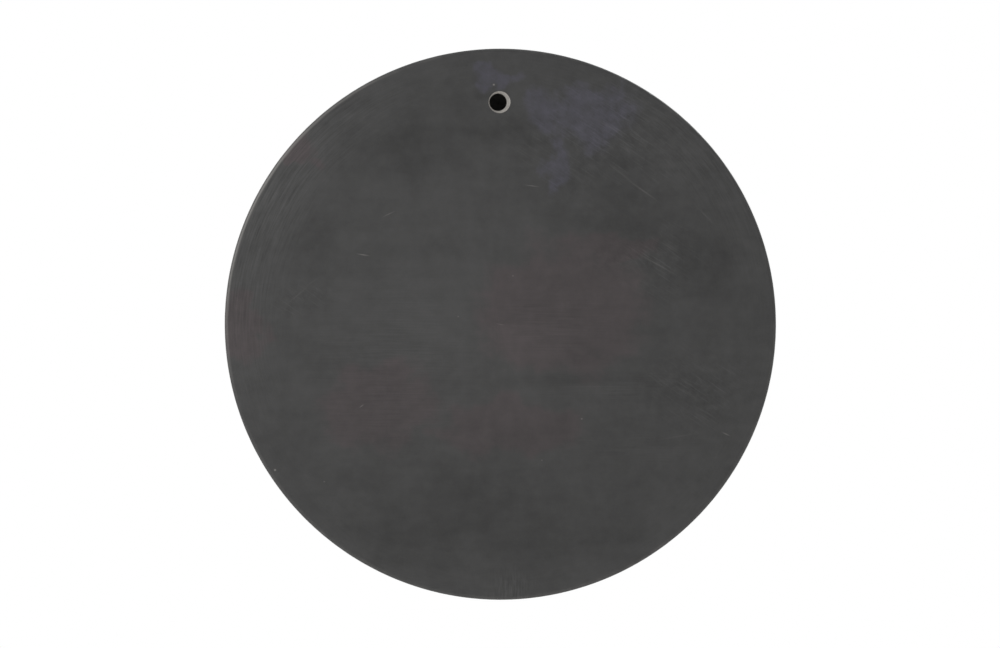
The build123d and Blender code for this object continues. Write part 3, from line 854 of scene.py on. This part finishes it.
def weathered_brass(name, bright, dull, stain, roughness, turn, grain, depth):
    """Brass left outdoors: a satin grain in one direction, dulled in clouds, and darker at its foot by the
    dial face, partly dirt and partly painted shade.

    turn is how the grain lies, grain its (x, y, z) sizes in mm, and depth how deep it is.
    """
    material = new_material(name)
    tree = material.node_tree
    place = add(tree, "ShaderNodeTexCoord").outputs["Object"]
    laid = add(tree, "ShaderNodeMapping", {
        "Vector": place, "Rotation": turn, "Scale": [size * MM for size in grain]}, vector_type="TEXTURE")
    brushed = clouds(tree, laid, 1.0, 3.0, 0.6)
    dulled = clouds(tree, place, 7 * MM, 5.0, 0.6)
    speckle = clouds(tree, place, 1.4 * MM, 4.0, 0.65)
    parts = add(tree, "ShaderNodeSeparateXYZ", {0: place}).outputs
    foot = add(tree, "ShaderNodeMapRange", {0: parts["Y"], 1: FACE - 1.1 * MM, 2: FACE - 0.1 * MM}, **EASED)
    share = weighted_sum(tree, 0.42, [(dulled, 0.75), (brushed, 0.30), (speckle, 0.25)])
    tone = add(tree, "ShaderNodeMix", {"Factor": share, "A": linear(bright), "B": linear(dull)},
               data_type="RGBA", clamp_factor=True)
    # The stain colour darkens the brass in clouds and near the dial face: tarnish and dirt, and near the
    # face also painted shade where the brass meets the slate.
    dirt_and_shade_reach = weighted_sum(tree, -0.62, [(foot, 0.75), (speckle, 0.9), (dulled, 0.7)])
    dirt_and_shade = add(tree, "ShaderNodeMapRange", {0: dirt_and_shade_reach, 1: -0.25, 2: 0.55}, **EASED)
    aged = add(tree, "ShaderNodeMix", {"Factor": dirt_and_shade, "A": tone, "B": linear(stain)}, data_type="RGBA")
    gloss = weighted_sum(tree, roughness, [(brushed, 0.10), (dulled, 0.10), (dirt_and_shade, 0.30)])
    metal = weighted_sum(tree, 1.0, [(dirt_and_shade, -0.45)])
    height = weighted_sum(tree, 0.0, [(brushed, depth), (speckle, 0.3 * depth)])
    surface(tree, height, 1 * MM, {"Base Color": aged, "Metallic": metal, "Roughness": gloss})
    return material


# Turned brass rod: bright from the lathe, with a faint satin grain, gone a little brown outdoors
turned_brass = weathered_brass("turned_brass", "#d2b372", "#98794a", "#4a3e30", 0.30, (0, 0, 0),
                               (0.5, 0.3, 0.5), 0.004)
for name in ("numeral_pins", "screw_inserts"):
    finish = frame["nodes"][name].data.materials
    finish.clear()
    finish.append(turned_brass)

# -------------------- Numerals
# Each numeral is pierced from 2 mm brass sheet, with its letters joined by a bar at top and bottom.
# Its face was rubbed flat on emery paper and its edges were eased with a file.

# Rubbed brass sheet: short slanting hairlines and a soft shine, browner at its foot, partly dirt and partly
# painted shade against the slate
rubbed_brass = weathered_brass("rubbed_sheet_brass", "#d8ba7a", "#a0824f", "#4f4231", 0.32,
                               (0, math.radians(28), 0), (3.5, 0.5, 0.28), 0.005)
NUMERAL_EASE = 0.07 * MM


def eased_copy(name, node_name, width, material):
    """A CAD node's mesh made into one skin, with its sharp edges filed to a small round."""
    work = bmesh.new()
    work.from_mesh(frame["nodes"][node_name].data)
    bmesh.ops.remove_doubles(work, verts=work.verts, dist=0.001 * MM)
    bmesh.ops.dissolve_limit(work, angle_limit=math.radians(0.5), verts=work.verts, edges=work.edges)
    mesh = bpy.data.meshes.new(name)
    work.to_mesh(mesh)
    work.free()
    mesh.materials.clear()
    mesh.materials.append(material)
    piece = new_object(name, mesh)
    ease = piece.modifiers.new("eased_edges", "BEVEL")
    ease.width = width
    ease.segments = 2
    ease.limit_method = "ANGLE"
    ease.angle_limit = math.radians(30)
    ease.use_clamp_overlap = True
    settle(piece)
    smooth(piece, 50)
    flats = piece.modifiers.new("flats_stay_flat", "WEIGHTED_NORMAL")
    flats.keep_sharp = True
    settle(piece)
    piece.data.name = name
    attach(piece, "root")
    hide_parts(node_name)
    return piece


for node_name in sorted(frame["nodes"]):
    if node_name.startswith("numeral_") and node_name != "numeral_pins":
        numeral = eased_copy("brass_" + node_name, node_name, NUMERAL_EASE, rubbed_brass)

# -------------------- Half-hour studs
# Each half hour has a domed nail, turned from brass rod and glued in the slate. A fine bead runs
# round the foot of its dome.

STUD_CIRCLE = 78.0 * MM
STUD_RADIUS = 2.2 * MM
STUD_RISE = 1.2 * MM
STUD_BEAD = 0.22 * MM
DOME_RADIUS = STUD_RADIUS - 1.7 * STUD_BEAD
DOME_FOOT = 1.3 * STUD_BEAD
DOME_STEPS = 11
SHANK_RADIUS = 0.75 * MM
SHANK_LENGTH = 5.0 * MM


def stud():
    """One nail, shank up its hole and dome out of the face, about the origin."""
    profile = [(0.4 * SHANK_RADIUS, SHANK_LENGTH), (SHANK_RADIUS, SHANK_LENGTH - OVER), (SHANK_RADIUS, 0)]
    profile += [(STUD_RADIUS - 0.3 * STUD_BEAD, 0)]
    for step in range(1, 6):
        turn = math.radians(-90 + 45 * step)
        profile.append((STUD_RADIUS - STUD_BEAD + STUD_BEAD * math.cos(turn),
                        -STUD_BEAD - STUD_BEAD * math.sin(turn)))
    for step in range(DOME_STEPS):
        turn = math.radians(90 * step / DOME_STEPS)
        profile.append((DOME_RADIUS * math.cos(turn),
                        -DOME_FOOT - (STUD_RISE - DOME_FOOT) * math.sin(turn)))
    profile.append((0.02 * MM, -STUD_RISE))
    return closed_mesh("one_stud", turned_rings(profile, 40), turned_brass)


one_stud = stud()
studs = grown("half_hour_nails", repeated_on_hours("nails_on_hour_lines", False), {
    "Piece": one_stud, "Count": 12, "First hour": -82.5, "Hour step": 15.0, "Inner radius": STUD_CIRCLE,
    "Outer radius": TRACK_OUTER, "Root start": 0.0, "Width": 1.0, "Latitude": LATITUDE,
    "Root height": ROOT_HEIGHT, "Face": FACE, "Waver": 0.0, "Material": turned_brass})
bpy.data.objects.remove(one_stud)
smooth(studs, 40)
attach(studs, "root")
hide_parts("half_hour_studs")

# -------------------- Gnomon's sole
# The sole is a waisted plate of 3 mm brass, slotted for the blade's tenons. It was filed to shape
# and grained lengthwise with emery paper.

# Grained brass plate: straight hairlines up and down the plate, with a satin shine
grained_brass = weathered_brass("grained_plate_brass", "#d7b877", "#997b4a", "#4c4030", 0.30,
                                (0, 0, 0), (0.28, 0.5, 14), 0.006)
PLATE_EASE = 0.12 * MM
sole = eased_copy("brass_sole", "gnomon_sole", PLATE_EASE, grained_brass)

# -------------------- Gnomon's blade
# The blade is 4 mm brass plate, pierced with four graded holes and tenoned through the sole. Its
# style edge leans at 38.5 degrees to the dial, and it was grained along that edge.

# Grained brass plate, as the sole, with its hairlines along the style
STYLE_LEAN = math.radians(90.0 - LATITUDE)
blade_brass = weathered_brass("grained_blade_brass", "#d7b877", "#997b4a", "#4c4030", 0.28,
                              (-STYLE_LEAN, 0, 0), (0.5, 0.28, 18), 0.006)
blade = eased_copy("brass_blade", "gnomon_blade", PLATE_EASE, blade_brass)

# -------------------- Screws
# Four slotted M3 brass screws with raised countersunk heads hold the sole down. Each was driven
# home by hand, so no two slots lie alike, and the screwdriver has spread the slots a little.

SOLE_THICKNESS = 3.0 * MM
SCREW_RADIUS = 1.5 * MM
SCREW_END = 7.5 * MM
SCREW_SIDES = 36
POINT_LENGTH = 1.0 * MM
POINT_SHARE = 0.35
THREAD_PITCH = 0.5 * MM
THREAD_DEPTH = 0.27 * MM
HEAD_RADIUS = 2.9 * MM
HEAD_RISE = 0.6 * MM
HEAD_BEVEL = 0.12 * MM
HEAD_EDGE = 0.02 * MM
SLOT_WIDTH = 0.8 * MM
SLOT_DEPTH = 1.0 * MM
SLOT_SPREAD = 1.15
SLOT_TURNS = (-40.0, 15.0, 25.0, 80.0)


def screw():
    """One screw with a cut thread and a slotted head, its head out of the face, about the origin."""
    rings = []
    threaded = SCREW_END - OVER
    steps = 8 * round(threaded / THREAD_PITCH)
    for step in range(steps + 1):
        y = SCREW_END - step * threaded / steps
        taper = min(1.0, (SCREW_END - y) / POINT_LENGTH + POINT_SHARE)
        ring = []
        for side in range(SCREW_SIDES):
            turn = (y / THREAD_PITCH + side / SCREW_SIDES) % 1.0
            radius = SCREW_RADIUS * taper - THREAD_DEPTH * abs(2 * turn - 1)
            angle = math.tau * side / SCREW_SIDES
            ring.append((radius * math.cos(angle), y, radius * math.sin(angle)))
        rings.append(ring)
    neck = -(SOLE_THICKNESS - (HEAD_RADIUS - SCREW_RADIUS))
    profile = [(SCREW_RADIUS, 0.2 * MM), (SCREW_RADIUS, neck)]
    profile += [(HEAD_RADIUS - HEAD_BEVEL, -SOLE_THICKNESS + HEAD_BEVEL)]
    edge = -SOLE_THICKNESS - HEAD_EDGE
    for step in range(10):
        turn = math.radians(9 * step)
        profile.append((HEAD_RADIUS * math.cos(turn), edge - (HEAD_RISE - HEAD_EDGE) * math.sin(turn)))
    top = -SOLE_THICKNESS - HEAD_RISE
    profile.append((0.03 * MM, top))
    rings += turned_rings(profile, SCREW_SIDES)
    made = closed_mesh("one_screw", rings, turned_brass)
    half = SLOT_WIDTH / 2
    mouth = half * SLOT_SPREAD
    slot = []
    for z in (-HEAD_RADIUS - OVER, HEAD_RADIUS + OVER):
        slot.append([(-half, top + SLOT_DEPTH, z), (half, top + SLOT_DEPTH, z), (mouth, top - OVER, z),
                     (-mouth, top - OVER, z)])
    take_away(made, closed_mesh("slot", slot, turned_brass))
    return made


one_screw = screw()
places = middles("sole_screws")
screws = grown("slotted_screws", on_points, {"Piece": one_screw, "Material": turned_brass},
               points_on_face(places, [math.radians(-turn) for turn in SLOT_TURNS]))
bpy.data.objects.remove(one_screw)
smooth(screws, 35)
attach(screws, "root")
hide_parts("sole_screws")

# -------------------- Studio
# A matt paper floor, which falls away gently in front of the dial face so that its far edge stays
# out of sight. The room is white, dimmer behind the camera, and each side has one soft box.

FLOOR_DROP = 0.32
FLOOR_SIDE = 7.0
FLAT_END = -2.1
SLOPE_END = -4.5
SLOPE_DROP = 0.5
floor_rows = [(FLOOR_SIDE, -FLOOR_DROP), (FLAT_END, -FLOOR_DROP), (SLOPE_END, -SLOPE_DROP)]
floor_mesh = bpy.data.meshes.new("studio_floor")
floor_mesh.from_pydata([(side * FLOOR_SIDE, y, z) for y, z in floor_rows for side in (-1, 1)],
                       [], [(0, 2, 3, 1), (2, 4, 5, 3)])
floor_mesh.shade_smooth()
floor = new_object("studio_floor", floor_mesh)
paper = new_material("matt_paper")
shader = add(paper.node_tree, "ShaderNodeBsdfPrincipled", {"Base Color": linear("#f4f3f1"),
                                                          "Roughness": 0.9})
add(paper.node_tree, "ShaderNodeOutputMaterial", {"Surface": shader})
floor_mesh.materials.append(paper)

world = bpy.data.worlds.new("studio")
bpy.context.scene.world = world
world.use_nodes = True
tree = world.node_tree
tree.nodes.clear()
direction = add(tree, "ShaderNodeTexCoord").outputs["Generated"]
parts = add(tree, "ShaderNodeSeparateXYZ", {0: direction}).outputs
ramp = add(tree, "ShaderNodeMapRange", {0: parts["Y"], 1: -0.5, 2: 0.6, 3: 1.0, 4: 0.6}, **EASED)
light = add(tree, "ShaderNodeBackground", {"Color": (1, 1, 1, 1), "Strength": ramp})
add(tree, "ShaderNodeOutputWorld", {"Surface": light})


def soft_box(name, place, size, watts):
    """A square soft box aimed at the dial, which isn't seen itself."""
    lamp = bpy.data.lights.new(name, "AREA")
    lamp.size = size
    lamp.energy = watts
    holder = new_object(name, lamp)
    holder.location = place
    holder.rotation_euler = (-Vector(place)).to_track_quat("-Z", "Y").to_euler()
    holder.visible_camera = False


soft_box("back_key", (0.85, 0.62, 0.42), 0.45, 5.5)
soft_box("face_key", (-1.0, -1.3, 1.2), 0.6, 16)

CAMERA_PLACE = (0.0002, 3.0, 0.0001)
CAMERA_ROLL = math.radians(-0.6)
camera = bpy.data.cameras.new("camera")
camera.lens = 198.7
camera.sensor_width = 36.0
holder = new_object("camera", camera)
faced = Matrix.Rotation(math.pi, 4, "Z") @ Matrix.Rotation(math.pi / 2, 4, "X")
holder.matrix_world = Matrix.Translation(CAMERA_PLACE) @ faced @ Matrix.Rotation(CAMERA_ROLL, 4, "Z")
bpy.context.scene.camera = holder
bpy.context.scene.view_settings.view_transform = "Standard"
